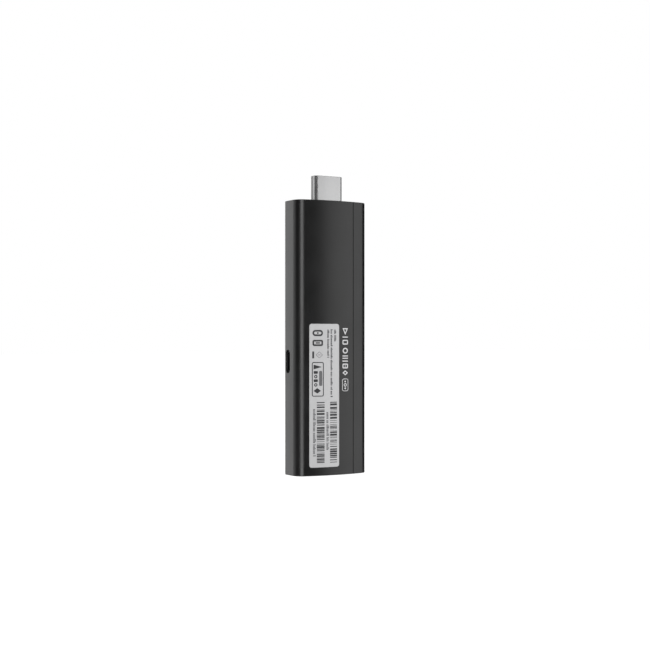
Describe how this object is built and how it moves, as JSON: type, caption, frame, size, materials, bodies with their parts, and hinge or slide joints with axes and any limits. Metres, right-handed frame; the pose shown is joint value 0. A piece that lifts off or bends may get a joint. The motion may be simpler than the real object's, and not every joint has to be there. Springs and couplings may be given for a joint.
{
  "type": "streaming media player",
  "caption": "Slim black media stick with a full-size video plug on one end, a side power port, a side reset button, a label and its electronics inside.",
  "frame": {"origin": "middle of the bottom end, the end opposite the plug, on which the stick stands", "axes": "+Z along the stick towards the video plug, -Y towards the rear (label) face, +Y towards the front face, -X towards the side with the power port"},
  "size_m": [0.0358, 0.0166, 0.1312],
  "materials": {
    "shell_plastic": "satin black moulded plastic, fine texture",
    "label_film": "silver-grey printed film, satin",
    "plug_plate": "nickel-plated folded sheet, satin",
    "black_resin": "black moulded resin",
    "gold_plate": "gold flash plating",
    "holder_rubber": "soft black rubber",
    "port_plate": "dark nickel plating",
    "board_laminate": "green solder mask over glass laminate",
    "chip_resin": "black epoxy, fine matt",
    "thermal_pad": "soft grey-blue silicone",
    "shield_steel": "tinned sheet steel",
    "spreader_metal": "milled aluminium",
    "graphite_film": "dark graphite film",
    "antenna_metal": "stamped nickel silver",
    "ferrite": "moulded ferrite",
    "capacitor_ceramic": "tan fired ceramic",
    "resistor_body": "black-glazed chips",
    "led_body": "cast resin with phosphor",
    "guide_clear": "clear moulded light pipe",
    "screw_steel": "zinc-plated steel",
    "switch_metal": "tinned switch frame",
    "switch_stem": "white nylon stem",
    "button_plastic": "satin black cap"
  },
  "bodies": {
    "stick": {"rear_shell": "shell_plastic", "front_shell": "shell_plastic", "rating_label": "label_film", "hdmi_plug_shell": "plug_plate", "hdmi_insulator": "black_resin", "hdmi_contacts": "gold_plate", "plug_holder": "holder_rubber", "usb_c_shell": "port_plate", "usb_c_tongue": "black_resin", "usb_c_contacts": "gold_plate", "main_board": "board_laminate", "processor": "chip_resin", "processor_pad": "thermal_pad", "memory_chips": "chip_resin", "flash_chip": "chip_resin", "shield_frame": "shield_steel", "shield_lid": "shield_steel", "lid_pad": "thermal_pad", "heat_spreader": "spreader_metal", "graphite_sheet": "graphite_film", "wifi_board": "board_laminate", "wifi_can": "shield_steel", "antenna_upper": "antenna_metal", "antenna_lower": "antenna_metal", "power_chip": "chip_resin", "power_inductors": "ferrite", "ceramic_capacitors": "capacitor_ceramic", "chip_resistors": "resistor_body", "main_crystal": "shield_steel", "surge_arrays": "chip_resin", "status_led": "led_body", "light_guide": "guide_clear", "board_screws": "screw_steel", "reset_switch_body": "switch_metal"},
    "reset_key": {"reset_button": "button_plastic", "reset_switch_plunger": "switch_stem"}
  },
  "joints": [
    {"name": "reset_press", "type": "slide", "parent": "stick", "child": "reset_key", "axis": [-1, 0, 0], "range_m": [0, 0.0003], "stiffness_N_per_m": 1500, "springref_m": -0.0002}
  ]
}
